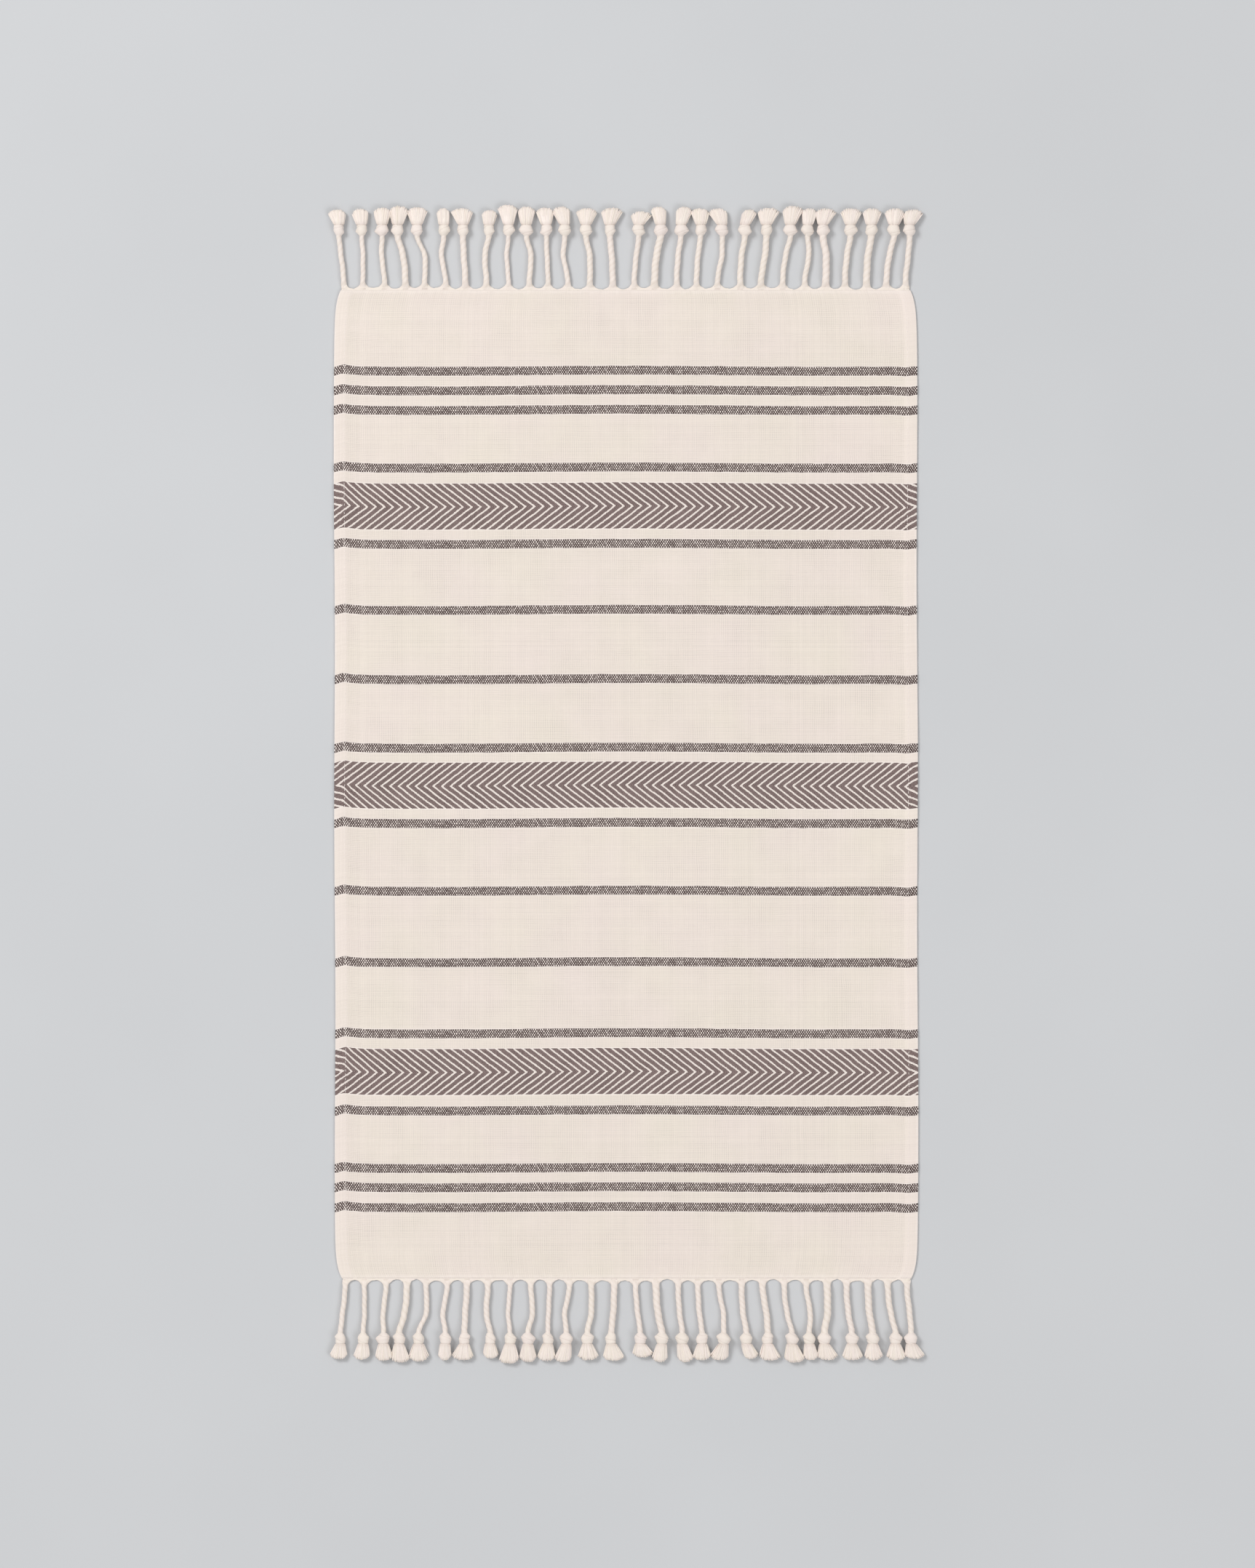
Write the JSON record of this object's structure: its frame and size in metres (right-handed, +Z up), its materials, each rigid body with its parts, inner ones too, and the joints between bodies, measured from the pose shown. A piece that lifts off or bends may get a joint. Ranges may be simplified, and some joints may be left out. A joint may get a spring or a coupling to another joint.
{
  "type": "hammam towel",
  "caption": "Flat woven cotton hammam hand towel with woven bands and bars, stitched side hems, and a fringe of twisted, knotted cords at both ends.",
  "frame": {"origin": "on the surface the towel lies on, under the middle of the towel", "axes": "+Y along the towel towards its head fringe, +X across it to the right seen from above, +Z up out of its face"},
  "size_m": [0.5111, 0.9966, 0.0092],
  "materials": {
    "woven_cloth": "undyed plain-woven cotton with charcoal and white chevron bands and speckled bars, matt",
    "fringe_yarn": "undyed twisted cotton yarn, matt"
  },
  "bodies": {
    "root": {"towel_cloth": "woven_cloth", "fringe_head": "fringe_yarn", "fringe_foot": "fringe_yarn"}
  },
  "joints": []
}
